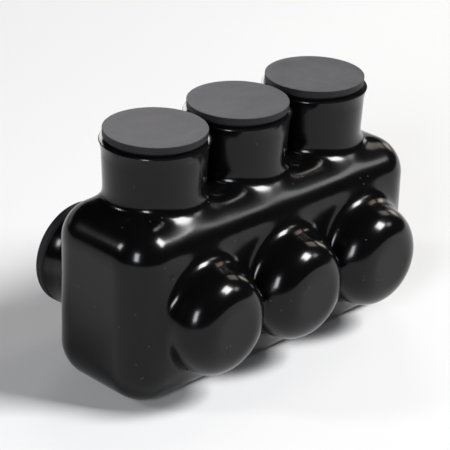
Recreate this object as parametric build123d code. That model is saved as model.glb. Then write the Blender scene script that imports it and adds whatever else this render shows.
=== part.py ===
from build123d import *
import math
import os

# Insulated multi-tap connector: one row of cable ports in a dip-moulded jacket.
# The row of ports runs along X. Cables enter the collars on the +Y side, the closed
# domes on the -Y side cover the cable tips, and the towers on top lead to the set screws.
# The origin is on the flat underside, below the middle of the body. Lengths are in millimetres.

# Set screws
screw_r = 7.1
screw_length = 16.0
screw_tip_r = 5.0
screw_tip_length = 1.6
screw_top_chamfer = 0.6
screw_tip_retreat = 0.3
hex_across_flats = 7.94
hex_depth = 8.0
thread_gap = 0.05

# Terminal block inside the jacket
cable_bore_r = 8.3
block_depth = 23.4
block_floor = 7.4
thread_depth = 10.6
bore_mouth_chamfer = 0.8
thread_relief = 0.6

# Jacket body, dipped over the block
wall = 3.2
edge_round = 8.5
corner_thinning = 2.3
end_margin = 6.55

# Screw towers on top of the body
screw_row_back = 1.2
screw_way_gap = 0.9
tower_wall = 2.4
tower_rise = 13.0
tower_taper = 0.4
tower_flare = 1.0
foot_round = 1.5
foot_share_of_gap = 0.48

# Cable collars on the rear of the body
insulation_gap = 0.9
collar_wall = 2.1
collar_reach = 8.5
collar_flare = 0.5

# Closed domes on the front of the body
dome_gap = 0.2
dome_reach = 9.9
dome_nose_round = 6.9

# Both the collars and the domes
port_root_round = 1.6
flare_height = 3.5

# Plugs that close the towers and the collars
screw_plug_step = 0.75
cable_plug_overhang = 0.05
disc_thickness = 1.9
disc_lift = 0.5
disc_dish = 0.15
disc_rim_width = 2.2
disc_edge_round = 0.25
seat_width = 0.7
shank_length = 6.0
shank_wall = 2.0
ring_height = 0.45
ring_length = 1.0
ring_places = (0.38, 0.74)
plug_gap = 0.05

# Row of ports
port_count = 3
port_gap = 0.3

# Radii worked out from the bores outwards
tower_bore_r = screw_r + screw_way_gap
tower_foot_r = tower_bore_r + tower_wall
tower_neck_r = tower_foot_r + tower_taper
tower_rim_r = tower_neck_r + tower_flare
tower_mouth_r = tower_rim_r - tower_wall
collar_bore_r = cable_bore_r + insulation_gap
collar_foot_r = collar_bore_r + collar_wall
collar_rim_r = collar_foot_r + collar_flare
dome_cavity_r = cable_bore_r + dome_gap
dome_r = dome_cavity_r + wall
screw_plug_disc_r = tower_rim_r - screw_plug_step
cable_plug_disc_r = collar_rim_r + cable_plug_overhang

# Row and body worked out from the radii
widest_port_r = max(tower_rim_r, cable_plug_disc_r, dome_r)
port_pitch = 2 * widest_port_r + port_gap
port_xs = [(i - (port_count - 1) / 2) * port_pitch for i in range(port_count)]
body_length = (port_count - 1) * port_pitch + 2 * (widest_port_r + end_margin)
body_depth = block_depth + 2 * wall
block_height = block_floor + 2 * cable_bore_r + thread_depth
body_height = block_height + 2 * wall

# Heights above the underside, and distances from the middle of the body
port_height = wall + block_floor + cable_bore_r
bore_crown_z = port_height + cable_bore_r
block_top_z = body_height - wall
tower_top_z = body_height + tower_rise
face_reach = body_depth / 2
collar_rim_reach = face_reach + collar_reach
dome_nose_reach = face_reach + dome_reach

# How close a point must be to a surface to count as on it
on_surface = 0.01


def port_plane(x, rearward):
    """A plane on a port's axis at the body's middle, with its Z along +Y or -Y and its Y up."""
    return Plane(origin=(x, 0, port_height), x_dir=(-rearward, 0, 0), z_dir=(0, rearward, 0))


def screw_plane(x):
    """A plane on a set screw's axis at the height of the underside, with its Z up."""
    return Plane(origin=(x, screw_row_back, 0), x_dir=(1, 0, 0), z_dir=(0, 0, 1))


def turned(lines):
    """A solid turned about Z from a closed outline drawn with radius as X and height as Y."""
    return revolve(Plane.XZ * make_face(lines), axis=Axis.Z)


def flared(foot_r, neck_r, rim_r, foot_z, rim_z, flare):
    """A turned solid with a tapered wall that flares out in an arc to its rim."""
    neck = (neck_r, rim_z - flare)
    wall_line = Line((foot_r, foot_z), neck)
    flare_arc = TangentArc(neck, (rim_r, rim_z), tangent=wall_line % 1)
    return turned([wall_line, flare_arc, Polyline((rim_r, rim_z), (0, rim_z), (0, foot_z), (foot_r, foot_z))])


def root_ring(root_r, face_reach, root_round):
    """A turned foot with a hollow arc that leads from a flat face into a port's wall."""
    top = (root_r, face_reach + root_round)
    toe = (root_r + root_round, face_reach)
    middle_reach = root_round * (1 - math.sqrt(0.5))
    hollow = ThreePointArc(top, (root_r + middle_reach, face_reach + middle_reach), toe)
    buried = face_reach - wall / 2
    return turned([hollow, Polyline(toe, (toe[0], buried), (0, buried), (0, top[1]), top)])


def rounded_box(length, depth, height, edge_radius):
    """A box with every edge rounded, centred above the underside."""
    box = Pos(0, 0, body_height / 2) * Box(length, depth, height)
    return fillet(box.edges(), edge_radius)


def body_shape():
    """The outside of the jacket's body."""
    return rounded_box(body_length, body_depth, body_height, edge_round)


def block_shape():
    """The outside of the aluminium block, one wall inside the body."""
    block_edge_round = edge_round - wall - corner_thinning
    return rounded_box(body_length - 2 * wall, block_depth, block_height, block_edge_round)


def tower(x):
    """The outside of one screw tower, rooted in the body."""
    shaft = flared(tower_foot_r, tower_neck_r, tower_rim_r, body_height, tower_top_z, flare_height)
    root = Pos(0, 0, body_height - edge_round / 2) * Cylinder(tower_foot_r, edge_round)
    return screw_plane(x) * (shaft + root)


def tower_bore(x):
    """The way down one tower to the top of the block."""
    bore = flared(tower_bore_r, tower_bore_r, tower_mouth_r, block_top_z, tower_top_z, flare_height)
    return screw_plane(x) * bore


def collar(x):
    """The outside of one cable collar, rooted in the rear face."""
    root_reach = face_reach - wall / 2
    outside = flared(collar_foot_r, collar_foot_r, collar_rim_r, root_reach, collar_rim_reach, flare_height)
    return port_plane(x, 1) * (outside + root_ring(collar_foot_r, face_reach, port_root_round))


def collar_bore(x):
    """The way in from one collar's rim to the rear face of the block."""
    depth = wall + collar_reach
    return port_plane(x, 1) * Pos(0, 0, collar_rim_reach - depth / 2) * Cylinder(collar_bore_r, depth)


def nosed_cylinder(radius, back_reach, nose_reach, nose_round):
    """A cylinder along Z whose far end is rounded over to a small flat nose."""
    bar = Pos(0, 0, (back_reach + nose_reach) / 2) * Cylinder(radius, nose_reach - back_reach)
    return fillet(bar.edges().sort_by(Axis.Z)[-1], nose_round)


def dome(x):
    """The outside of one closed dome, rooted in the front face."""
    outside = nosed_cylinder(dome_r, face_reach - wall / 2, dome_nose_reach, dome_nose_round)
    return port_plane(x, -1) * (outside + root_ring(dome_r, face_reach, port_root_round))


def dome_cavity(x):
    """The hollow in one dome, from the front face of the block to one wall short of the nose."""
    cavity = nosed_cylinder(dome_cavity_r, block_depth / 2, dome_nose_reach - wall, dome_nose_round - wall)
    return port_plane(x, -1) * cavity


def on_tower_foot(edge):
    """Whether an edge is where a tower's wall meets the top of the body."""
    points = [edge @ t for t in (0, 0.5, 1)]
    if not all(body_height - edge_round < p.Z < body_height + on_surface for p in points):
        return False
    for x in port_xs:
        radii = [math.hypot(p.X - x, p.Y - screw_row_back) for p in points]
        if all(abs(r - tower_foot_r) < on_surface for r in radii):
            return True
    return False


def jacket():
    """The one-piece moulded jacket with its towers, collars and domes."""
    solid = body_shape() + [tower(x) for x in port_xs]
    feet = [e for e in solid.edges() if on_tower_foot(e)]
    gap_between_towers = port_pitch - 2 * tower_foot_r
    solid = fillet(feet, min(foot_round, foot_share_of_gap * gap_between_towers))
    solid += [collar(x) for x in port_xs] + [dome(x) for x in port_xs]
    solid -= block_shape()
    solid -= [tower_bore(x) for x in port_xs]
    solid -= [collar_bore(x) for x in port_xs]
    solid -= [dome_cavity(x) for x in port_xs]
    return solid


def terminal_block():
    """The aluminium block with a cable bore and a tapped hole at each port."""
    solid = block_shape()
    tapped_r = screw_r + thread_gap
    tapped_depth = block_top_z - port_height
    for x in port_xs:
        solid -= port_plane(x, 1) * Cylinder(cable_bore_r, block_depth)
        mouth = Cone(cable_bore_r, cable_bore_r + bore_mouth_chamfer, bore_mouth_chamfer)
        solid -= port_plane(x, 1) * Pos(0, 0, (block_depth - bore_mouth_chamfer) / 2) * mouth
        solid -= screw_plane(x) * Pos(0, 0, block_top_z - tapped_depth / 2) * Cylinder(tapped_r, tapped_depth)
        relief = Cone(tapped_r, tapped_r + thread_relief, thread_relief)
        solid -= screw_plane(x) * Pos(0, 0, block_top_z - thread_relief / 2) * relief
    return solid


def set_screw(x):
    """One socket set screw, backed out until its tip clears the cable bore."""
    tip_z = bore_crown_z + screw_tip_retreat
    top_z = tip_z + screw_length
    solid = turned(Polyline(
        (0, tip_z),
        (screw_tip_r, tip_z),
        (screw_r, tip_z + screw_tip_length),
        (screw_r, top_z - screw_top_chamfer),
        (screw_r - screw_top_chamfer, top_z),
        (0, top_z),
        close=True,
    ))
    hexagon = RegularPolygon(hex_across_flats / math.sqrt(3), 6)
    socket = extrude(Pos(0, 0, top_z - hex_depth) * hexagon, hex_depth)
    return screw_plane(x) * (solid - socket)


def plug(disc_r, bore_r, mouth_r):
    """One push-in plug along Z, with its seat on the rim at Z 0 and its disc above."""
    shank_r = bore_r - plug_gap - ring_height
    disc_top = disc_lift + disc_thickness
    dish_r = disc_r - disc_rim_width
    solid = turned(Polyline(
        (0, disc_top - disc_dish),
        (dish_r - disc_rim_width, disc_top - disc_dish),
        (dish_r, disc_top),
        (disc_r - disc_edge_round, disc_top),
        (disc_r, disc_top - disc_edge_round),
        (disc_r, disc_lift),
        (mouth_r + seat_width, 0),
        (shank_r, 0),
        (shank_r, -shank_length),
        (shank_r - shank_wall, -shank_length),
        (shank_r - shank_wall, 0),
        (0, 0),
        close=True,
    ))
    for place in ring_places:
        ring_z = -place * shank_length
        solid += turned(Polyline(
            (shank_r - shank_wall / 2, ring_z - ring_length / 2),
            (shank_r, ring_z - ring_length / 2),
            (shank_r + ring_height, ring_z),
            (shank_r, ring_z + ring_length / 2),
            (shank_r - shank_wall / 2, ring_z + ring_length / 2),
            close=True,
        ))
    return solid


def screw_plug(x):
    """The plug in one tower's mouth."""
    return screw_plane(x) * Pos(0, 0, tower_top_z) * plug(screw_plug_disc_r, tower_bore_r, tower_mouth_r)


def cable_plug(x):
    """The plug in one collar's mouth."""
    return port_plane(x, 1) * Pos(0, 0, collar_rim_reach) * plug(cable_plug_disc_r, collar_bore_r, collar_bore_r)


def main():
    """Writes one file for each piece."""
    pieces = {"jacket": jacket(), "terminal_block": terminal_block()}
    for number, x in enumerate(port_xs, start=1):
        pieces[f"set_screw_{number}"] = set_screw(x)
        pieces[f"screw_plug_{number}"] = screw_plug(x)
        pieces[f"cable_plug_{number}"] = cable_plug(x)
    for name, solid in pieces.items():
        export_step(solid, f"parts/{name}.step")


main()
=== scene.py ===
import math

import bmesh
import bpy
import numpy as np
from mathutils import Matrix, Vector


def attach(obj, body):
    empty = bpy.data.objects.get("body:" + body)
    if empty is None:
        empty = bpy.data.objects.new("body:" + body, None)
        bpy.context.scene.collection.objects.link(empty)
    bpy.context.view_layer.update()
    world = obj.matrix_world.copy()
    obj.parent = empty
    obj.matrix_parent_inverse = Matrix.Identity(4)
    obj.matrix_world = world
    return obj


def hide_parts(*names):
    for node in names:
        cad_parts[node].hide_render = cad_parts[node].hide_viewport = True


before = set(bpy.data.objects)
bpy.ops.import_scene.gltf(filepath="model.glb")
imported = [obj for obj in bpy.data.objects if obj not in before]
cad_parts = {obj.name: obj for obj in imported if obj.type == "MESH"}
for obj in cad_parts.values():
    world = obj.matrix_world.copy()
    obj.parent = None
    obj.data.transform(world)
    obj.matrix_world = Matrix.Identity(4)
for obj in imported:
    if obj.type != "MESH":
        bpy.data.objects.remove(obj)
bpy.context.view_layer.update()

# The looks of the insulated multi-tap connector. Shapes are worked out in millimetres in the
# frame of the CAD model and put into the meshes in metres.
MM = 0.001

# Row of ports
port_pitch = 24.0
half_pitch = port_pitch / 2
port_xs = (-port_pitch, 0.0, port_pitch)
port_height = 18.9
screw_row_back = 1.2

# Jacket body, and the block inside it
body_half = np.array([42.4, 14.9, 20.5])
body_centre = np.array([0.0, 0.0, 20.5])
body_top = 2 * body_half[2]
body_round = 8.5
wall = 3.2
block_half = body_half - wall
block_round = 3.0

# Screw towers
tower_rise = 13.0
tower_foot_r = 10.8
tower_neck_r = 11.2
tower_rim_r = 11.8
tower_bore_r = 8.0
tower_mouth_r = 9.4
tower_top = body_top + tower_rise

# Cable collars
collar_reach = 8.5
collar_foot_r = 11.3
collar_rim_r = 11.8
collar_bore_r = 9.2
collar_end = body_half[1] + collar_reach

# Closed domes, whose upper side swells towards the face they stand on
dome_reach = 9.9
dome_r = 11.7
dome_nose_round = 6.9
dome_cavity_r = 8.5
dome_flat_r = dome_r - dome_nose_round
dome_side_reach = dome_reach - dome_nose_round
dome_swell = 1.8
dome_swell_reach = 5.0

# Both the towers and the collars: the flare to the rim, and the small round of the cut edge
flare_height = 3.5
cut_edge_round = 0.15

# Heights of the row of points partway down a bore
tower_bore_row = 5.0
collar_bore_row = 4.0

# How deep every port's form reaches into the body
root_depth = 7.0

# Widths of the soft joins of the dipped skin, at the ports' roots and between neighbours
tower_root_blend = 3.6
tower_front_blend = 1.6
dome_root_blend = 3.8
collar_root_blend = 3.3
tower_web_blend = 3.0
dome_web_blend = 4.4
collar_web_blend = 3.6
least_blend = 0.01

# Where joins fade out, as distances out from the top, the rear face and the front face
tower_web_fade = (1.5, 6.0)
collar_web_fade = (2.0, 5.5)
tower_front_fade = (-3.0, 5.0)

# Plugs: the disc, whose dish is level out to a share of its radius, and its seat on the rim
disc_lift = 0.5
disc_thickness = 1.9
disc_dish = 0.1
dish_share = 0.55
disc_rim_width = 0.9
disc_edge_round = 0.08
disc_chamfer = 0.4
screw_plug_step = 0.75
cable_plug_overhang = 0.05
seat_width = 0.75
seat_bevel = 0.1
seat_height = 0.02

# Plugs: the ribs round the disc's edge, and where the first of them starts below its round
rib_spacing = 0.36
rib_depth = 0.035
rib_start = 0.04

# Plugs: the hollow shank and its sealing rings
shank_gap = 0.5
shank_length = 6.0
shank_wall = 2.0
shank_round = 0.3
shank_root_round = 0.15
hollow_chamfer = 0.2
ring_height = 0.45
ring_length = 1.0
ring_places = (0.38, 0.74)

# Set screws, with the cup in the tip and the shoulder round it as radii and heights
screw_tip_z = 27.5
screw_length = 16.0
screw_r = 7.1
screw_tip_r = 5.0
screw_tip_length = 1.6
screw_top_chamfer = 0.6
tip_cup = ((0, 0.35), (3.4, 0.35), (4.6, 0.0))
tip_shoulder = (5.3, 0.25)

# Thread: the peak that its tooth would have uncut and how far it falls in one pitch, both in
# depths of the thread, and the rows that draw it, from their first height to a gap at the top
thread_pitch = 1.41
thread_depth = 0.72
tooth_crest = 1.25
tooth_slope = 3.1
thread_start = 0.4
thread_end_gap = 0.05
thread_row_step = 0.117

# Socket: how far its cut-off corners reach as a share of the inscribed radius, its mouth as
# widenings and depths, and the drilled end below its flats
hex_across_flats = 7.94
hex_corner_share = 1.13
hex_mouth = ((0.35, 0), (0.08, 0.1), (0, 0.4))
hex_middle = 4.0
hex_depth = 8.0
hex_floor_height = 0.8
drill_point_height = 0.6

# Grid counts: along one port of the row, across the body, up the body, and round what is turned
along_n = 32
across_n = 34
up_n = 46
inner_face_rings = 6
turned_n = 160
screw_n = 96
rings_out = {"tower": 54, "collar": 34, "dome": 44}

# How a port's rings are spread: the share of them that its own form gets, how near to the rim of
# its patch that form may come, and how deep the point lies from which the rays fan out
own_share = 0.66
rim_share = 0.86
fan_depth = {"tower": -2.2, "collar": -3.2, "dome": -5.0}

# Rough runs over the face round a port, which only space the rings: first steps out from its
# foot with heights above the face, then radii with heights
foot_run = {
    "tower": ((0, 2.4), (0.7, 0.9), (2.4, 0.1), (4, -0.1)),
    "collar": ((0, 2.4), (0.7, 0.9), (2.4, 0.1), (4, -0.1)),
    "dome": ((0, 2.6), (1.3, 1.0), (3.8, 0.1)),
}
far_run = {
    "tower": ((22, -2.1), (34, -3.6)),
    "collar": ((22, -2.1), (34, -4.6)),
    "dome": ((22, -2.0), (34, -4.2)),
}

# The web between two ports: how far out it reaches on the front and on the rear, its rough outline
# from below up to the ports' axes, first with heights out and then with shares of that reach, and
# how deep the point lies from which the rays fan out
dome_web_reach = 5.2
collar_web_reach = 2.2
web_foot_run = ((-8.5, 0.0), (-3.6, 0.3))
web_flank_run = ((-3.3, 0.6), (-2.4, 0.93), (0.0, 1.0))
web_ray_depth = 5.0

# Search along rays: their longest reach, how often it is halved, and a length that stands in for 0
ray_reach = 26.0
halvings = 26
tiny = 1e-6

# Merging of seams and of collapsed edges, in metres, and the angles in degrees above which an
# edge is shaded sharp
seam_distance = 2e-7
collapsed_length = 1e-8
jacket_sharp_angle = 35
turned_sharp_angle = 30


# Form of the jacket

def smooth_step(x, low, high):
    """0 below low and 1 above high, with 3t^2 - 2t^3 between them."""
    t = np.clip((x - low) / (high - low), 0, 1)
    return t * t * (3 - 2 * t)


def joined(a, b, blend):
    """The smaller of two gaps, less a sixth of the blend times the cube of how nearly equal they
    are, so that the corner between two surfaces is filled with a soft join of that width."""
    nearness = np.maximum(blend - np.abs(a - b), 0) / blend
    return np.minimum(a, b) - nearness ** 3 * blend / 6


def box_gap(p, half, edge_round):
    """How far points are from a box with rounded edges: the length of what is left when the
    distance from the centre is taken less the box drawn in by its edge radius."""
    q = np.abs(p - body_centre) - (half - edge_round)
    return np.linalg.norm(np.maximum(q, 0), axis=-1) + np.minimum(q.max(-1), 0) - edge_round


def flared_gap(r, h, foot_r, neck_r, rim_r, reach):
    """How far points are from a wall whose radius runs straight from foot to neck and then
    out to the rim as the square of the height above the neck."""
    neck_h = reach - flare_height
    taper = np.clip(h / neck_h, 0, 1)
    flare = np.clip((h - neck_h) / (flare_height - cut_edge_round), 0, 1)
    radius = foot_r + (neck_r - foot_r) * taper
    radius = radius + (rim_r - neck_r) * flare ** 2
    return np.maximum(np.maximum(r - radius, h - reach), -root_depth - h)


def nosed_gap(dx, dz, h):
    """How far points are from a dome: a cylinder whose end is rounded over to a flat nose. Its
    upper side swells towards the face as the square of the depth below the swell's reach."""
    r = np.hypot(dx, dz)
    depth = (1 - h / dome_swell_reach).clip(0, 1)
    swell = dome_swell * depth ** 2 * np.maximum(dz, 0) / np.maximum(r, tiny)
    side = r - swell - dome_flat_r
    tip = h - dome_side_reach
    past_both = np.hypot(np.maximum(side, 0), np.maximum(tip, 0))
    gap = past_both + np.minimum(np.maximum(side, tip), 0) - dome_nose_round
    return np.maximum(gap, -root_depth - h)


def row_gap(port_gap, x, web):
    """Three like ports of the row, with soft webs between neighbours."""
    left, middle, right = (port_gap(x - port_x) for port_x in port_xs)
    return joined(joined(left, middle, web), right, web)


def fading(width, out, fade):
    """A join's width, which falls to the least between two distances out from a face."""
    return width * (1 - smooth_step(out, *fade)) + least_blend


def form(p):
    """How far points are outside the jacket: the body joined softly to the towers, the domes
    and the collars. The webs between towers and between collars fade out below their rims, and
    the towers' feet run out further at the front, by the square of the cosine from straight ahead."""
    x, y, z = p[..., 0], p[..., 1], p[..., 2]
    up = z - body_top
    front = -y - body_half[1]
    rear = y - body_half[1]

    def tower_gap(dx):
        r = np.hypot(dx, y - screw_row_back)
        return flared_gap(r, up, tower_foot_r, tower_neck_r, tower_rim_r, tower_rise)

    def collar_gap(dx):
        r = np.hypot(dx, z - port_height)
        return flared_gap(r, rear, collar_foot_r, collar_foot_r, collar_rim_r, collar_reach)

    def dome_gap(dx):
        return nosed_gap(dx, z - port_height, front)

    towers = row_gap(tower_gap, x, fading(tower_web_blend, up, tower_web_fade))
    collars = row_gap(collar_gap, x, fading(collar_web_blend, rear, collar_web_fade))
    domes = row_gap(dome_gap, x, dome_web_blend)
    nearest_dx = np.abs(np.abs(x) - port_pitch * (np.abs(x) > half_pitch))
    ahead = np.maximum(screw_row_back - y, 0)
    ahead = ahead / np.maximum(np.hypot(nearest_dx, y - screw_row_back), tiny)
    front_blend = tower_front_blend * ahead ** 2 * (1 - smooth_step(front, *tower_front_fade))
    gap = joined(box_gap(p, body_half, body_round), towers, tower_root_blend + front_blend)
    return joined(joined(gap, domes, dome_root_blend), collars, collar_root_blend)


def come_out(start, way, reach):
    """Where rays that start inside the jacket come out of it, found by halving their reach."""
    near = np.zeros(way.shape[:-1])
    far = np.broadcast_to(reach, way.shape[:-1]).copy()
    for _ in range(halvings):
        middle = (near + far) / 2
        inside = form(start + way * middle[..., None]) < 0
        near = np.where(inside, middle, near)
        far = np.where(inside, far, middle)
    return start + way * far[..., None]


def unit(v):
    """Vectors brought to a length of 1."""
    return v / np.linalg.norm(v, axis=-1, keepdims=True)


def drawn_in(corner, half, edge_round):
    """Points of a sharp box taken to the box drawn in by its edge radius, and the ways back out."""
    inner = half - edge_round
    start = np.clip(corner - body_centre, -inner, inner) + body_centre
    return start, unit(corner - start)


def outer_skin(corner):
    """Points of the sharp box round the body taken to the jacket's outside."""
    start, way = drawn_in(corner, body_half, body_round)
    return come_out(start, way, ray_reach)


def inner_skin(corner):
    """Points of the sharp box round the block taken to the block's rounded surface."""
    start, way = drawn_in(corner, block_half, block_round)
    return start + way * block_round


class Port:
    """A tower, a collar or a dome: where its axis leaves the body, the way it points and the
    two ways across it."""

    def __init__(self, x, kind):
        self.kind = kind
        if kind == "tower":
            self.foot = np.array([x, screw_row_back, body_top])
            self.axis = np.array([0.0, 0.0, 1.0])
            self.across = (np.array([1.0, 0.0, 0.0]), np.array([0.0, 1.0, 0.0]))
        else:
            side = 1.0 if kind == "collar" else -1.0
            self.foot = np.array([x, side * body_half[1], port_height])
            self.axis = np.array([0.0, side, 0.0])
            self.across = (np.array([1.0, 0.0, 0.0]), np.array([0.0, 0.0, 1.0]))

    def place(self, r, angle, h):
        """The points at a radius, an angle and a height along the axis."""
        r, angle, h = np.broadcast_arrays(r, angle, h)
        first, second = self.across
        on_axis = self.foot + self.axis * h[..., None]
        return on_axis + first * (r * np.cos(angle))[..., None] + second * (r * np.sin(angle))[..., None]


def arc(start, end, centre, count):
    """Points on the arc between two points about a centre, each point a radius and a height."""
    (r0, h0), (r1, h1), (centre_r, centre_h) = start, end, centre
    angle0 = math.atan2(h0 - centre_h, r0 - centre_r)
    angle1 = math.atan2(h1 - centre_h, r1 - centre_r)
    angle = np.linspace(angle0, angle1, count)
    size = math.hypot(r0 - centre_r, h0 - centre_h)
    return np.c_[centre_r + size * np.cos(angle), centre_h + size * np.sin(angle)]


def dome_nose(tip_h, side_r, count):
    """The rounded edge of a dome's nose, outside or inside, as a quarter of a circle."""
    return arc((dome_flat_r, tip_h), (side_r, dome_side_reach), (dome_flat_r, dome_side_reach), count)


def rough_outline(kind):
    """A port's plain outline, as points of radius and height from its tip down to its foot and
    out over the face round it, and the row where its foot starts."""
    if kind == "dome":
        foot_r = dome_r
        own = np.vstack([[(0, dome_reach)], dome_nose(dome_reach, dome_r, count=24)])
    else:
        top, foot_r, neck_r, rim_r = {
            "tower": (tower_rise, tower_foot_r, tower_neck_r, tower_rim_r),
            "collar": (collar_reach, collar_foot_r, collar_foot_r, collar_rim_r),
        }[kind]
        down = np.linspace(0, 1, 9)
        radius = neck_r + (rim_r - neck_r) * (1 - down) ** 2
        own = np.c_[radius, top - cut_edge_round - (flare_height - cut_edge_round) * down]
    run = [(foot_r + step, h) for step, h in foot_run[kind]]
    return np.vstack([own, run, far_run[kind]]), len(own)


def fan_out(port, rim):
    """A port's outside as a grid of rings, and the angles of the points of its first ring. Rays
    fan out from a point on the axis. They are turned evenly as far as the port's foot, then turn
    to the angles of the points of the patch's rim and end exactly on them."""
    line, foot_row = rough_outline(port.kind)
    depth = fan_depth[port.kind]
    start = port.foot + port.axis * depth
    line_tilt = np.arctan2(line[:, 0], line[:, 1] - depth)
    line_length = np.r_[0, np.cumsum(np.hypot(*np.diff(line, axis=0).T))]
    foot_length = line_length[foot_row]
    first, second, out = ((rim - start) @ way for way in (*port.across, port.axis))
    rim_angle = np.unwrap(np.arctan2(second, first))
    rim_tilt = np.arctan2(np.hypot(first, second), out)
    turn = np.sign(rim_angle[-1] - rim_angle[0])
    even = turn * 2 * np.pi * np.arange(len(rim)) / len(rim)
    even = even + np.mean(rim_angle - even)
    share = np.linspace(0, 1, rings_out[port.kind] + 1)[:, None]
    kept = np.minimum(foot_length, rim_share * np.interp(rim_tilt, line_tilt, line_length))[None]
    kept_share = own_share * kept / foot_length
    run = np.minimum(foot_length * share / own_share, kept)
    spread = ((share - kept_share) / (1 - kept_share)).clip(0)
    angles = even + (rim_angle - even) * smooth_step(share / kept_share, 0, 1)
    run_r = np.interp(run, line_length, line[:, 0])
    run_h = np.interp(run, line_length, line[:, 1])
    on_line = port.place(run_r, angles, run_h)
    way = unit(on_line + (rim - on_line) * spread[..., None] - start)
    to_neighbour = -np.sign(port.foot[0]) * way[..., 0] if port.foot[0] else np.abs(way[..., 0])
    reach = np.where(to_neighbour > 0, half_pitch / np.maximum(to_neighbour, tiny), ray_reach)
    skin = come_out(start, way, reach.clip(0, ray_reach))
    skin[-1] = rim
    return skin, even


def ring_rows(port, outline, angles):
    """Rings turned about a port's axis from an outline of radius and height."""
    outline = np.asarray(outline, float)
    return port.place(outline[:, 0, None], angles[None], outline[:, 1, None])


def patch_rim(kind, half, x0, x1, across):
    """The rim of one port's patch on a sharp box, as a loop of points: out along x at the first
    of the values across, over to the last of them, back along x, and over again."""
    xs = np.linspace(x0, x1, along_n + 1)
    steps = len(across) - 1
    u = np.concatenate([xs[:-1], np.full(steps, x1), xs[::-1][:-1], np.full(steps, x0)])
    first, last = np.full(along_n, across[0]), np.full(along_n, across[-1])
    v = np.concatenate([first, across[:-1], last, across[::-1][:-1]])
    if kind == "tower":
        return np.stack([u, v, np.full(len(u), body_centre[2] + half[2])], -1)
    side = 1.0 if kind == "collar" else -1.0
    return np.stack([u, np.full(len(u), side * half[1]), v], -1)


def web_curve(x, side):
    """The jacket's outside in the plane between two ports, on the front or the rear face, from
    the bottom edge to the top. Rays fan out from a point behind the web between the ports, and
    are spaced evenly along a rough outline of the web."""
    edges = np.array([[x, side * body_half[1], 0.0], [x, side * body_half[1], body_top]])
    bottom, top = outer_skin(edges)
    reach = dome_web_reach if side < 0 else collar_web_reach
    lower = [*web_foot_run, *((up, share * reach) for up, share in web_flank_run)]
    upper = [(-up, out) for up, out in lower[-2::-1]]
    rough = np.array(lower + upper)
    z = np.r_[bottom[2], port_height + rough[:, 0], top[2]]
    out = np.r_[side * bottom[1], body_half[1] + rough[:, 1], side * top[1]]
    length = np.r_[0, np.cumsum(np.hypot(np.diff(z), np.diff(out)))]
    at = np.linspace(0, length[-1], up_n + 1)
    target = np.c_[np.full(up_n + 1, x), side * np.interp(at, length, out), np.interp(at, length, z)]
    start = np.array([x, side * (body_half[1] - web_ray_depth), port_height])
    curve = come_out(start, unit(target - start), ray_reach)
    curve[0], curve[-1] = bottom, top
    return curve


# Meshes from grids of points

class Patches:
    """Grids of points gathered into one mesh, whose seams are merged at the end."""

    def __init__(self):
        self.points = []
        self.faces = []
        self.count = 0

    def add(self, grid, wrap=False):
        """Adds a grid of rows of points; wrap joins each row's last point to its first."""
        rows, columns = grid.shape[:2]
        index = self.count + np.arange(rows * columns).reshape(rows, columns)
        right = np.roll(index, -1, axis=1) if wrap else index[:, 1:]
        left = index if wrap else index[:, :-1]
        self.faces.append(np.stack([left[:-1], right[:-1], right[1:], left[1:]], -1).reshape(-1, 4))
        self.points.append(grid.reshape(-1, 3))
        self.count += rows * columns

    def piece(self, name, sharp_angle):
        """The gathered grids as one closed object, shaded smooth up to an angle in degrees."""
        mesh = bpy.data.meshes.new(name)
        points, faces = np.vstack(self.points) * MM, np.vstack(self.faces)
        mesh.vertices.add(len(points))
        mesh.vertices.foreach_set("co", points.ravel())
        mesh.loops.add(faces.size)
        mesh.loops.foreach_set("vertex_index", faces.ravel())
        mesh.polygons.add(len(faces))
        mesh.polygons.foreach_set("loop_start", np.arange(0, faces.size, 4))
        mesh.update(calc_edges=True)
        work = bmesh.new()
        work.from_mesh(mesh)
        bmesh.ops.remove_doubles(work, verts=work.verts, dist=seam_distance)
        bmesh.ops.dissolve_degenerate(work, edges=work.edges, dist=collapsed_length)
        bmesh.ops.recalc_face_normals(work, faces=work.faces)
        work.to_mesh(mesh)
        work.free()
        mesh.polygons.foreach_set("use_smooth", np.ones(len(mesh.polygons), bool))
        mesh.set_sharp_from_angle(angle=math.radians(sharp_angle))
        mesh.update()
        thing = bpy.data.objects.new(name, mesh)
        bpy.context.scene.collection.objects.link(thing)
        return thing


def flat_grid(xs, ys, zs):
    """The points of a flat face of a box, where one of the three ranges is a single value."""
    return np.stack(np.meshgrid(xs, ys, zs, indexing="ij"), -1).squeeze()


# The jacket

def cut_rim(outer_r, inner_r, h):
    """The cut end of a tower or a collar: the middle and the end of its slightly rounded outer
    edge, then rows near both edges of the flat."""
    round_middle, flat_row = 0.3 * cut_edge_round, 4 * cut_edge_round
    edge = [(outer_r - round_middle, h - round_middle), (outer_r - cut_edge_round, h)]
    return [*edge, (outer_r - flat_row, h), (inner_r + flat_row, h)]


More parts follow.
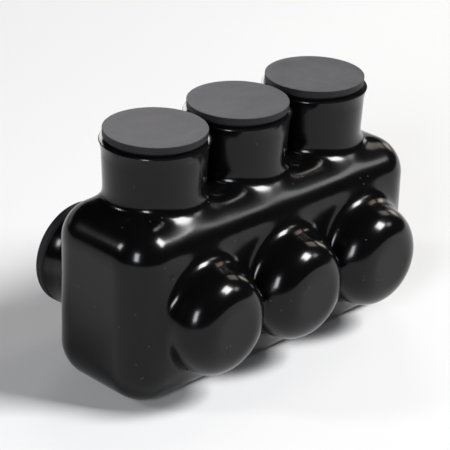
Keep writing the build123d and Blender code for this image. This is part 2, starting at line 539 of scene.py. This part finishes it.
def inside_outline(kind):
    """A tower's or collar's cut rim and bore, or a dome's hollow, as points of radius and height
    down to the face, and the radius there. A tower's mouth widens as the square of the height."""
    c = cut_edge_round
    if kind == "tower":
        up = np.linspace(1, 0, 9)
        mouth_r = tower_bore_r + (tower_mouth_r - tower_bore_r) * up ** 2
        mouth = np.c_[mouth_r, tower_rise - flare_height * (1 - up)]
        mouth[0] = (tower_mouth_r + c, tower_rise)
        rim = cut_rim(tower_rim_r, tower_mouth_r, tower_rise)
        return [*rim, *mouth, (tower_bore_r, tower_bore_row), (tower_bore_r, 0)], tower_bore_r
    if kind == "collar":
        rim = cut_rim(collar_rim_r, collar_bore_r, collar_reach)
        mouth = [(collar_bore_r + c, collar_reach), (collar_bore_r, collar_reach - c)]
        return [*rim, *mouth, (collar_bore_r, collar_bore_row), (collar_bore_r, 0)], collar_bore_r
    nose = dome_nose(dome_reach - wall, dome_cavity_r, count=10)
    return [(0, dome_reach - wall), *nose, (dome_cavity_r, 0)], dome_cavity_r


def add_port(made, port, rim, sharp_inner_rim):
    """Adds a port's outside, its rim and bore or its hollow, and the jacket's inner face round
    its mouth, which is spread evenly from the mouth to the rim of the patch."""
    skin, angles = fan_out(port, rim)
    made.add(skin, wrap=True)
    outline, mouth_r = inside_outline(port.kind)
    inside = ring_rows(port, outline, angles)
    if port.kind != "dome":
        inside = np.concatenate([skin[:1], inside])
    sharp_mouth = port.place(mouth_r, angles, -wall)
    inner_mouth = inner_skin(sharp_mouth)
    made.add(np.concatenate([inside, inner_mouth[None]]), wrap=True)
    share = np.linspace(0, 1, inner_face_rings + 1)[:, None, None]
    inner_face = inner_skin(sharp_mouth + (sharp_inner_rim - sharp_mouth) * share)
    inner_face[0], inner_face[-1] = inner_mouth, inner_skin(sharp_inner_rim)
    made.add(inner_face, wrap=True)


def box_lines(half):
    """Where patches meet on a sharp box: x between the ports, and the grid across and up it."""
    along = (-half[0], -half_pitch, half_pitch, half[0])
    across = np.linspace(-half[1], half[1], across_n + 1)
    upward = np.linspace(body_centre[2] - half[2], body_centre[2] + half[2], up_n + 1)
    return along, across, upward


def jacket_moulding():
    """The jacket: on the outside, one patch of rings for each tower, collar and dome, and plain
    grids on the underside and the ends; inside, the same layout round the block and the bores."""
    made = Patches()
    along, across, upward = box_lines(body_half)
    inner_along, inner_across, inner_upward = box_lines(block_half)
    webs = {(x, side): web_curve(x, side) for x in (-half_pitch, half_pitch) for side in (-1.0, 1.0)}
    for i, x in enumerate(port_xs):
        x0, x1 = along[i:i + 2]
        inner_x0, inner_x1 = inner_along[i:i + 2]
        for kind in ("tower", "collar", "dome"):
            port = Port(x, kind)
            values, inner_values = (across, inner_across) if kind == "tower" else (upward, inner_upward)
            rim = outer_skin(patch_rim(kind, body_half, x0, x1, values))
            side = port.axis[1]
            if (x1, side) in webs:
                rim[along_n:along_n + up_n] = webs[x1, side][:-1]
            if (x0, side) in webs:
                rim[-up_n:] = webs[x0, side][::-1][:-1]
            add_port(made, port, rim, patch_rim(kind, block_half, inner_x0, inner_x1, inner_values))
        under = flat_grid(np.linspace(x0, x1, along_n + 1), across, [0.0])
        made.add(outer_skin(under))
        floor_z = body_centre[2] - block_half[2]
        inner_under = flat_grid(np.linspace(inner_x0, inner_x1, along_n + 1), inner_across, [floor_z])
        made.add(inner_skin(inner_under))
    for x in (-body_half[0], body_half[0]):
        made.add(outer_skin(flat_grid([x], across, upward)))
    for x in (-block_half[0], block_half[0]):
        made.add(inner_skin(flat_grid([x], inner_across, inner_upward)))
    return made.piece("jacket_moulding", jacket_sharp_angle)


# Plugs and set screws

def turned_piece(name, port, outline):
    """A closed piece turned about a port's axis from an outline that starts and ends on it."""
    made = Patches()
    made.add(ring_rows(port, outline, 2 * np.pi * np.arange(turned_n) / turned_n), wrap=True)
    return made.piece(name, turned_sharp_angle)


def plug_outline(disc_r, bore_r, mouth_r, base):
    """A plug's outline from the middle of its dished face, over its ribbed edge, under the disc
    and down its shank, to the middle of the hollow. The ribs are squared cosine waves, and a
    sealing ring falls off from its crest as the 0.8th power of what is left of its width."""
    top = disc_lift + disc_thickness
    r = np.linspace(0, disc_r - shank_round, 30)
    face_rise = smooth_step(r, disc_r * dish_share, disc_r - disc_rim_width)
    face = np.c_[r, top - disc_dish * (1 - face_rise)]
    edge_r, edge_h = disc_r - disc_edge_round, top - disc_edge_round
    shoulder = arc((edge_r, top), (disc_r, edge_h), (edge_r, edge_h), count=6)
    h = np.linspace(edge_h - rib_start, disc_lift + disc_chamfer, 30)
    wave = 0.5 - 0.5 * np.cos((h - disc_lift) * 2 * np.pi / rib_spacing)
    ribs = np.c_[disc_r - rib_depth * wave ** 2, h]
    shank_r = bore_r - shank_gap
    seat_r = mouth_r + seat_width
    seat = [(seat_r, seat_height), (seat_r - seat_bevel, 0)]
    root = [(shank_r + shank_root_round, 0), (shank_r, -shank_root_round)]
    under = [(disc_r - disc_chamfer, disc_lift), *seat, *root]
    t = np.linspace(1, -1, 9)
    ring_r = shank_r + ring_height * (1 - np.abs(t)) ** 0.8
    rings = [np.c_[ring_r, t * ring_length / 2 - place * shank_length] for place in ring_places]
    hollow_r = shank_r - shank_wall
    foot = [
        (shank_r, shank_round - shank_length), (shank_r - shank_round, -shank_length),
        (hollow_r + hollow_chamfer, -shank_length), (hollow_r, hollow_chamfer - shank_length),
        (hollow_r, -shank_round), (hollow_r - shank_round, 0), (0, 0),
    ]
    outline = np.vstack([face, shoulder, ribs, under, *rings, foot])
    outline[:, 1] += base
    return outline


def set_screw_points(port):
    """A socket set screw as one grid: its rows run from the cupped tip, up the thread, over the
    top and down the hexagonal socket. The thread's tooth follows height less pitch times angle,
    and is cut off by the chamfers at the tip and the top."""
    angle = 2 * np.pi * np.arange(screw_n) / screw_n
    tip_h = screw_tip_z - body_top
    top_h = tip_h + screw_length
    top_r = screw_r - screw_top_chamfer
    shoulder_r, shoulder_h = tip_shoulder
    tip = [*tip_cup, (screw_tip_r, 0.0), tip_shoulder]
    rows = [port.place(np.full(screw_n, r), angle, tip_h + h) for r, h in tip]
    for h in np.arange(thread_start, screw_length - thread_end_gap, thread_row_step):
        phase = (h / thread_pitch - angle / (2 * np.pi)) % 1
        tooth = np.clip(tooth_crest - np.abs(phase - 0.5) * tooth_slope, 0, 1)
        tip_chamfer_r = shoulder_r + (h - shoulder_h) * (screw_r - screw_tip_r) / screw_tip_length
        limit = min(tip_chamfer_r, screw_r, top_r + (screw_length - h))
        radius = np.minimum(screw_r - thread_depth + thread_depth * tooth, limit)
        rows.append(port.place(radius, angle, tip_h + h))
    sector = (angle + np.pi / 6) % (np.pi / 3) - np.pi / 6
    inscribed_r = hex_across_flats / 2
    hexagon = np.minimum(inscribed_r / np.cos(sector), inscribed_r * hex_corner_share)
    socket = [
        (np.full(screw_n, top_r), 0),
        *((hexagon + widening, depth) for widening, depth in hex_mouth),
        (hexagon, hex_middle),
        (hexagon, hex_depth - hex_floor_height),
        (np.minimum(hexagon, inscribed_r), hex_depth - drill_point_height),
        (np.zeros(screw_n), hex_depth),
    ]
    rows += [port.place(radius, angle, top_h - depth) for radius, depth in socket]
    return np.stack(rows)


# Nodes and groups for the materials

def new_material(name):
    """A node material, its node tree and its Principled shader."""
    material = bpy.data.materials.new(name)
    material.use_nodes = True
    tree = material.node_tree
    return material, tree, tree.nodes["Principled BSDF"]


def set_socket(tree, socket, value):
    """Links a socket to another, or gives it a value."""
    if isinstance(value, bpy.types.NodeSocket):
        tree.links.new(value, socket)
    else:
        socket.default_value = value


def node(tree, kind, **inputs):
    """A node with some of its inputs set."""
    made = tree.nodes.new(kind)
    for key, value in inputs.items():
        set_socket(tree, made.inputs[key], value)
    return made


def math_node(tree, operation, *values):
    """The output of a Math node."""
    made = tree.nodes.new("ShaderNodeMath")
    made.operation = operation
    for socket, value in zip(made.inputs, values):
        set_socket(tree, socket, value)
    return made.outputs[0]


def ramp(tree, factor, span, low_value, high_value):
    """A value that runs from one number to another while the factor runs over a span."""
    made = node(tree, "ShaderNodeMapRange", Value=factor)
    ends = {"From Min": span[0], "From Max": span[1], "To Min": low_value, "To Max": high_value}
    for key, value in ends.items():
        made.inputs[key].default_value = value
    return made.outputs["Result"]


def colour_mix(tree, factor, first, second):
    """A colour between two, by a factor."""
    made = tree.nodes.new("ShaderNodeMix")
    made.data_type = "RGBA"
    tree.links.new(factor, made.inputs["Factor"])
    for socket, value in ((made.inputs[6], first), (made.inputs[7], second)):
        set_socket(tree, socket, (*value, 1) if isinstance(value, tuple) else value)
    return made.outputs[2]


def beyond(tree, where, z, y):
    """1 where a point lies above one height or further back than one depth, in millimetres."""
    place = node(tree, "ShaderNodeSeparateXYZ", Vector=where)
    above = math_node(tree, "GREATER_THAN", place.outputs["Z"], z * MM)
    behind = math_node(tree, "GREATER_THAN", place.outputs["Y"], y * MM)
    return math_node(tree, "MAXIMUM", above, behind)


def bumped(tree, shader, height, strength, distance):
    """A Bump node that feeds the shader's normal."""
    bump = node(tree, "ShaderNodeBump", Height=height, Strength=strength, Distance=distance)
    tree.links.new(bump.outputs["Normal"], shader.inputs["Normal"])


# Grain of the moulded skin: how fine its patterns are, the size of a speck of dust in its cell,
# the noise above which a patch is dusty, and the share of the dust that stands up
sag_scale = 55.0
peel_scale = 900.0
speck_scale = 560.0
patch_scale = 160.0
speck_size = 0.11
dusty_level = 0.56
speck_height = 0.5


def moulded_skin_group():
    """The group that every moulded surface shares: its height, as the sum of a broad sag, a fine
    orange peel and half the dust, and its dust, as small specks in some patches."""
    tree = bpy.data.node_groups.new("moulded_skin", "ShaderNodeTree")
    tree.interface.new_socket("Place", in_out="INPUT", socket_type="NodeSocketVector")
    for name in ("Sag", "Peel", "Dust"):
        tree.interface.new_socket(name, in_out="INPUT", socket_type="NodeSocketFloat")
    for name in ("Height", "Dust"):
        tree.interface.new_socket(name, in_out="OUTPUT", socket_type="NodeSocketFloat")
    given = tree.nodes.new("NodeGroupInput").outputs
    out = tree.nodes.new("NodeGroupOutput").inputs
    broad = node(tree, "ShaderNodeTexNoise", Vector=given["Place"], Scale=sag_scale, Detail=1.0)
    fine = node(tree, "ShaderNodeTexNoise", Vector=given["Place"], Scale=peel_scale, Detail=2.0)
    grit = node(tree, "ShaderNodeTexVoronoi", Vector=given["Place"], Scale=speck_scale)
    patchy = node(tree, "ShaderNodeTexNoise", Vector=given["Place"], Scale=patch_scale, Detail=2.0)
    sag = math_node(tree, "MULTIPLY", broad.outputs["Fac"], given["Sag"])
    peel = math_node(tree, "MULTIPLY", fine.outputs["Fac"], given["Peel"])
    speck = math_node(tree, "LESS_THAN", grit.outputs["Distance"], speck_size)
    dusty = math_node(tree, "GREATER_THAN", patchy.outputs["Fac"], dusty_level)
    dust = math_node(tree, "MULTIPLY", math_node(tree, "MULTIPLY", speck, dusty), given["Dust"])
    skin_height = math_node(tree, "ADD", sag, peel)
    dust_height = math_node(tree, "MULTIPLY", dust, speck_height)
    tree.links.new(math_node(tree, "ADD", skin_height, dust_height), out["Height"])
    tree.links.new(dust, out["Dust"])
    return tree


def use_group(tree, shared, **inputs):
    """One use of the shared group in a material, and the object coordinates that it reads."""
    made = tree.nodes.new("ShaderNodeGroup")
    made.node_tree = shared
    where = tree.nodes.new("ShaderNodeTexCoord").outputs["Object"]
    tree.links.new(where, made.inputs["Place"])
    for key, value in inputs.items():
        made.inputs[key].default_value = value
    return made, where


# Finishes

dust_colour = (0.12, 0.12, 0.12)
skin_black = (0.0018, 0.0018, 0.002)
cut_black = (0.004, 0.004, 0.0043)
plug_greys = ((0.007, 0.0067, 0.0077), (0.013, 0.0125, 0.0138))
# Painted sheen: these paler greys colour the discs' outer faces in place of light falling on them
sheen_painted_greys = ((0.033, 0.0316, 0.036), (0.080, 0.077, 0.0845))
aluminium_grey = (0.78, 0.78, 0.79)
screw_grey = (0.7, 0.7, 0.71)
floor_greys = ((0.69, 0.69, 0.69), (0.71, 0.71, 0.71))

# How much of the metals' light their film leaves, how far below a cut face, or below a disc face painted
# paler as a sheen, its finish starts, in millimetres, and the spans over which a noise is spread out
film_share = 0.72
cut_face_depth = 0.04
sheen_face_depth = 0.01
noise_span = (0.3, 0.7)
film_span = (0.35, 0.7)

# Roughness: of the jacket, what a cut rim adds to it, of the plugs, of the two metals, and the
# changes to it that tool lines make
jacket_rough = (0.14, 0.19)
cut_rim_rough = 0.06
plug_rough = (0.5, 0.62)
aluminium_rough = 0.33
screw_rough = 0.3
tool_line_rough = (-0.07, 0.1)

# How the noise of the tool lines is squeezed, which leaves it long in one direction
lines_along_x = (1.0, 14.0, 14.0)
lines_along_z = (14.0, 14.0, 1.0)


def jacket_finish(moulded_skin):
    """Glossy black dip-moulded plastisol, duller where the rims are cut."""
    material, tree, shader = new_material("glossy_black_plastisol")
    skin, where = use_group(tree, moulded_skin, Sag=0.3, Peel=0.02, Dust=0.2)
    cut = beyond(tree, where, z=tower_top - cut_face_depth, y=collar_end - cut_face_depth)
    dusted = colour_mix(tree, skin.outputs["Dust"], skin_black, dust_colour)
    tree.links.new(colour_mix(tree, cut, dusted, cut_black), shader.inputs["Base Color"])
    cloud = node(tree, "ShaderNodeTexNoise", Vector=where, Scale=90.0, Detail=3.0)
    moulded_rough = ramp(tree, cloud.outputs["Fac"], noise_span, *jacket_rough)
    rough = math_node(tree, "MULTIPLY_ADD", cut, cut_rim_rough, moulded_rough)
    tree.links.new(rough, shader.inputs["Roughness"])
    shader.inputs["IOR"].default_value = 1.5
    shader.inputs["Specular IOR Level"].default_value = 0.24
    bumped(tree, shader, skin.outputs["Height"], strength=0.35, distance=0.0004)
    return material


def plug_finish(moulded_skin):
    """Matt dark grey moulding, with a painted sheen: the outer faces of the discs are painted paler, as
    if lit.
    """
    material, tree, shader = new_material("matt_grey_plug")
    skin, where = use_group(tree, moulded_skin, Sag=0.3, Peel=0.5, Dust=0.15)
    face_height = disc_lift + disc_thickness - disc_dish - sheen_face_depth
    # Painted sheen: the disc's whole outer face, dish and all, gets the paler greys, as light on it would
    # make it look
    painted_sheen_mask = beyond(tree, where, z=tower_top + face_height, y=collar_end + face_height)
    cloud = node(tree, "ShaderNodeTexNoise", Vector=where, Scale=130.0, Detail=6.0, Roughness=0.7)
    shade = ramp(tree, cloud.outputs["Fac"], noise_span, 0, 1)
    moulded = colour_mix(tree, shade, *plug_greys)
    face = colour_mix(tree, shade, *sheen_painted_greys)
    base = colour_mix(tree, painted_sheen_mask, moulded, face)
    colour = colour_mix(tree, skin.outputs["Dust"], base, dust_colour)
    tree.links.new(colour, shader.inputs["Base Color"])
    rough = ramp(tree, cloud.outputs["Fac"], noise_span, *plug_rough)
    tree.links.new(rough, shader.inputs["Roughness"])
    shader.inputs["Specular IOR Level"].default_value = 0.22
    bumped(tree, shader, skin.outputs["Height"], strength=0.25, distance=0.00012)
    return material


def metal_finish(name, colour, rough, line_stretch):
    """Bare machined metal with fine tool lines and a clouded grey film."""
    material, tree, shader = new_material(name)
    where = tree.nodes.new("ShaderNodeTexCoord").outputs["Object"]
    stretched = node(tree, "ShaderNodeMapping", Vector=where, Scale=line_stretch).outputs["Vector"]
    lines = node(tree, "ShaderNodeTexNoise", Vector=stretched, Scale=300.0, Detail=4.0)
    cloud = node(tree, "ShaderNodeTexNoise", Vector=where, Scale=180.0, Detail=3.0)
    film = ramp(tree, cloud.outputs["Fac"], film_span, 0, 1)
    filmed = tuple(film_share * c for c in colour)
    tree.links.new(colour_mix(tree, film, colour, filmed), shader.inputs["Base Color"])
    rough_ends = (rough + change for change in tool_line_rough)
    lined_rough = ramp(tree, lines.outputs["Fac"], noise_span, *rough_ends)
    tree.links.new(lined_rough, shader.inputs["Roughness"])
    shader.inputs["Metallic"].default_value = 1.0
    bumped(tree, shader, lines.outputs["Fac"], strength=0.2, distance=0.00008)
    return material


def floor_finish():
    """Plain pale floor with a faint cloud."""
    material, tree, shader = new_material("pale_floor")
    where = tree.nodes.new("ShaderNodeTexCoord").outputs["Object"]
    cloud = node(tree, "ShaderNodeTexNoise", Vector=where, Scale=12.0)
    tree.links.new(colour_mix(tree, cloud.outputs["Fac"], *floor_greys), shader.inputs["Base Color"])
    shader.inputs["Roughness"].default_value = 0.9
    shader.inputs["Specular IOR Level"].default_value = 0.1
    return material


# The pieces

def finish_piece(piece, body, material, slot_name, *nodes):
    """Gives a piece its body, its material and the nodes it stands for, which are hidden. The slot name
    is not used.
    """
    piece.data.materials.clear()
    piece.data.materials.append(material)
    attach(piece, body)
    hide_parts(*nodes)


moulded_skin = moulded_skin_group()
black = jacket_finish(moulded_skin)
grey = plug_finish(moulded_skin)
aluminium = metal_finish("machined_aluminium", aluminium_grey, aluminium_rough, lines_along_x)
screw_metal = metal_finish("turned_aluminium", screw_grey, screw_rough, lines_along_z)

finish_piece(jacket_moulding(), "connector", black, "jacket_black", "jacket")

screw_plug_r = tower_rim_r - screw_plug_step
screw_plug_line = plug_outline(screw_plug_r, tower_bore_r, tower_mouth_r, tower_rise)
cable_plug_r = collar_rim_r + cable_plug_overhang
cable_plug_line = plug_outline(cable_plug_r, collar_bore_r, collar_bore_r, collar_reach)
for number, x in enumerate(port_xs, start=1):
    tower, collar = Port(x, "tower"), Port(x, "collar")
    name = f"screw_plug_{number}"
    finish_piece(turned_piece(f"{name}_moulding", tower, screw_plug_line), name, grey, "plug_grey", name)
    name = f"cable_plug_{number}"
    finish_piece(turned_piece(f"{name}_moulding", collar, cable_plug_line), name, grey, "plug_grey", name)
    name = f"set_screw_{number}"
    threaded = Patches()
    threaded.add(set_screw_points(tower), wrap=True)
    screw = threaded.piece(f"{name}_threaded", turned_sharp_angle)
    finish_piece(screw, name, screw_metal, "screw_metal", name)

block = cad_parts["terminal_block"]
block.data.materials.clear()
block.data.materials.append(aluminium)


# Floor, lights and camera

def pale_floor(half):
    """A plain square floor under the connector."""
    mesh = bpy.data.meshes.new("floor")
    corners = [(-half, -half, 0), (half, -half, 0), (half, half, 0), (-half, half, 0)]
    mesh.from_pydata(corners, [], [(0, 1, 2, 3)])
    mesh.materials.append(floor_finish())
    floor = bpy.data.objects.new("floor", mesh)
    bpy.context.scene.collection.objects.link(floor)


def studio_dark(grey_level):
    """A dim, even grey all round, which the lights stand out from."""
    world = bpy.data.worlds.new("studio")
    bpy.context.scene.world = world
    world.use_nodes = True
    background = world.node_tree.nodes["Background"]
    background.inputs["Color"].default_value = (grey_level, grey_level, grey_level, 1)
    background.inputs["Strength"].default_value = 1.0


def direction(turn, tilt):
    """The way out from the connector at a turn from +Y towards +X and a tilt up, in degrees."""
    turn, tilt = math.radians(turn), math.radians(tilt)
    return Vector((math.sin(turn) * math.cos(tilt), math.cos(turn) * math.cos(tilt), math.sin(tilt)))


def card(name, turn, tilt, wide, high, glow, colour=(1, 1, 1)):
    """A rectangular soft light that faces the connector: the way it stands in and how large it
    looks are in degrees, and its power is its glow times pi times its area."""
    distance, aim_height = 1.2, 0.03
    away = direction(turn, tilt)
    light = bpy.data.lights.new(name, "AREA")
    light.shape = "RECTANGLE"
    light.color = colour
    light.size = 2 * distance * math.tan(math.radians(wide / 2))
    light.size_y = 2 * distance * math.tan(math.radians(high / 2))
    light.energy = glow * math.pi * light.size * light.size_y
    thing = bpy.data.objects.new(name, light)
    thing.location = away * distance + Vector((0, 0, aim_height))
    thing.rotation_euler = (-away).to_track_quat("-Z", "Y").to_euler()
    bpy.context.scene.collection.objects.link(thing)


def photo_camera():
    """The photograph's view: direction, roll, distance and lens were solved from the outline of
    the connector. The camera stands a little to the left of and above the way it looks along."""
    turn, tilt, roll = (math.radians(a) for a in (-45.393, 25.225, 1.986))
    distance, look_height, shift_left, shift_up = 0.43777, 0.0264, 0.002657, 0.000629
    back = Vector((math.sin(turn) * math.cos(tilt), -math.cos(turn) * math.cos(tilt), math.sin(tilt)))
    level = Vector((math.cos(turn), math.sin(turn), 0))
    upright = back.cross(level)
    right = level * math.cos(roll) + upright * math.sin(roll)
    up = upright * math.cos(roll) - level * math.sin(roll)
    eye = Vector((0, 0, look_height)) + back * distance - right * shift_left + up * shift_up
    data = bpy.data.cameras.new("camera")
    data.sensor_width = 36.0
    data.lens = 159.4
    data.clip_start = 0.01
    data.clip_end = 20
    thing = bpy.data.objects.new("camera", data)
    rows = [(right[i], up[i], back[i], eye[i]) for i in range(3)]
    thing.matrix_world = Matrix((*rows, (0, 0, 0, 1)))
    bpy.context.scene.collection.objects.link(thing)
    bpy.context.scene.camera = thing


warm = (1.0, 0.88, 0.78)
cool = (0.93, 0.94, 1.0)

pale_floor(half=3.0)
studio_dark(grey_level=0.012)
card("key_softbox", turn=143, tilt=46, wide=16, high=18, glow=49)
card("key_spill", turn=127, tilt=30, wide=9, high=8, glow=7.8)
card("left_strip", turn=-117, tilt=23, wide=11, high=20, glow=26, colour=cool)
card("left_round", turn=-54, tilt=28, wide=9, high=11, glow=22)
card("warm_bounce", turn=86, tilt=38, wide=14, high=16, glow=3.2, colour=warm)
card("warm_low", turn=80, tilt=16, wide=12, high=12, glow=4.5, colour=warm)
card("rear_softbox", turn=38, tilt=22, wide=14, high=14, glow=9.1)
card("backdrop", turn=35, tilt=8, wide=100, high=16, glow=0.72)
photo_camera()
bpy.context.scene.view_settings.view_transform = "Standard"
